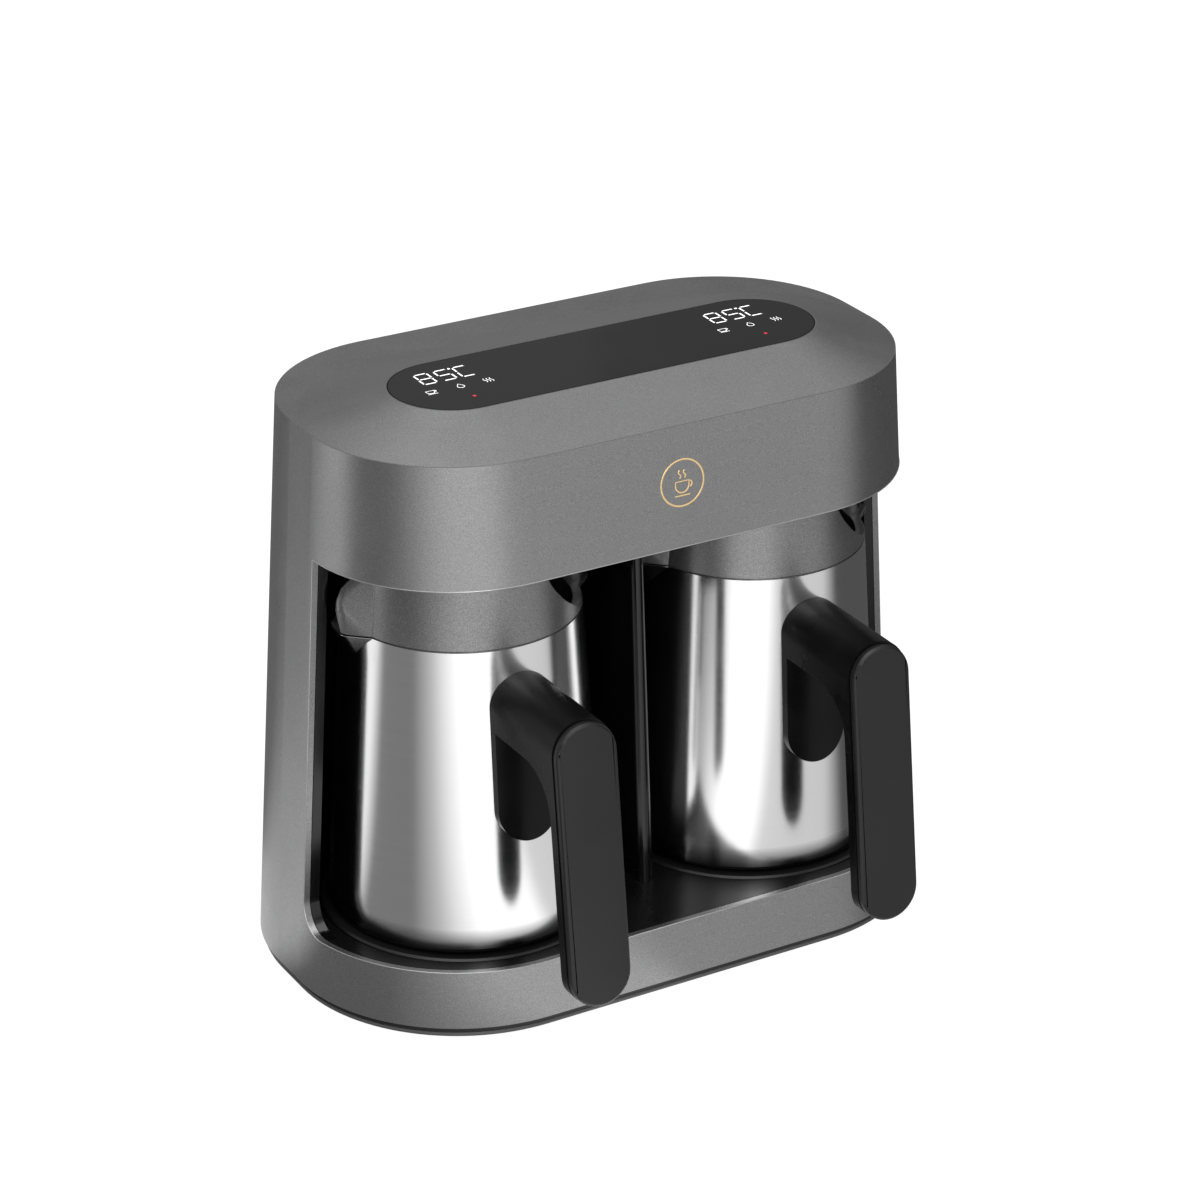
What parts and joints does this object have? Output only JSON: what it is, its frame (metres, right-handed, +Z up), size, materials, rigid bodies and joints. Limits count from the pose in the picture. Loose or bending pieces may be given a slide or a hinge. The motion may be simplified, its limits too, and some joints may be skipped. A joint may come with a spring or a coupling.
{
  "type": "electric turkish coffee maker",
  "caption": "Two-pot electric Turkish coffee maker: drafted stadium housing with a glass touch panel, open front bays and steel pots with front handles on hot plates.",
  "frame": {"origin": "on the table, below the middle of the outline of housing and handles", "axes": "+Z up, -Y towards the user at the open front, X across the two pots"},
  "size_m": [0.2798, 0.2094, 0.2478],
  "materials": {
    "body_paint": "metallic grey paint, fine speckle, satin",
    "gold_line": "polished pale gold",
    "panel_glass": "smoked black glass, gloss",
    "display_white": "white",
    "lamp_red": "clear red",
    "spring_steel": "bright",
    "board_green": "solder mask",
    "screw_steel": "zinc plated",
    "black_gloss": "gloss",
    "black_matte": "matte",
    "tray_black": "semi-gloss",
    "plate_metal": "dark coated, satin",
    "element_metal": "heat tinted",
    "black_rubber": "matte",
    "pot_steel": "polished stainless steel",
    "disc_metal": "satin",
    "handle_black": "satin"
  },
  "bodies": {
    "machine": {"outer_housing": "body_paint", "front_badge": "gold_line", "control_glass": "panel_glass", "left_display": "display_white", "right_display": "display_white", "indicator_lamps": "lamp_red", "touch_springs": "spring_steel", "touch_board": "board_green", "touch_board_screws": "screw_steel", "hood_panel": "black_gloss", "left_level_sensor": "black_matte", "right_level_sensor": "black_matte", "bay_liner": "black_gloss", "bay_divider": "black_gloss", "base_tray": "tray_black", "left_hot_plate": "plate_metal", "right_hot_plate": "plate_metal", "left_heating_element": "element_metal", "right_heating_element": "element_metal", "left_heat_sensor": "screw_steel", "right_heat_sensor": "screw_steel", "supply_board": "board_green", "supply_parts": "black_matte", "supply_board_screws": "screw_steel", "cord_gland": "black_rubber", "bottom_plate": "black_matte", "base_screws": "screw_steel", "rubber_feet": "black_rubber"},
    "left_pot_body": {"left_pot": "pot_steel", "left_pot_collar": "body_paint", "left_base_disc": "disc_metal", "left_handle": "handle_black", "left_handle_cover": "handle_black", "left_handle_stud": "screw_steel", "left_handle_screw": "screw_steel"},
    "right_pot_body": {"right_pot": "pot_steel", "right_pot_collar": "body_paint", "right_base_disc": "disc_metal", "right_handle": "handle_black", "right_handle_cover": "handle_black", "right_handle_stud": "screw_steel", "right_handle_screw": "screw_steel"}
  },
  "joints": [
    {"name": "left_pot_pull", "type": "slide", "parent": "machine", "child": "left_pot_body", "axis": [0, -1, 0], "range_m": [0, 0.14]},
    {"name": "right_pot_pull", "type": "slide", "parent": "machine", "child": "right_pot_body", "axis": [0, -1, 0], "range_m": [0, 0.14]}
  ]
}
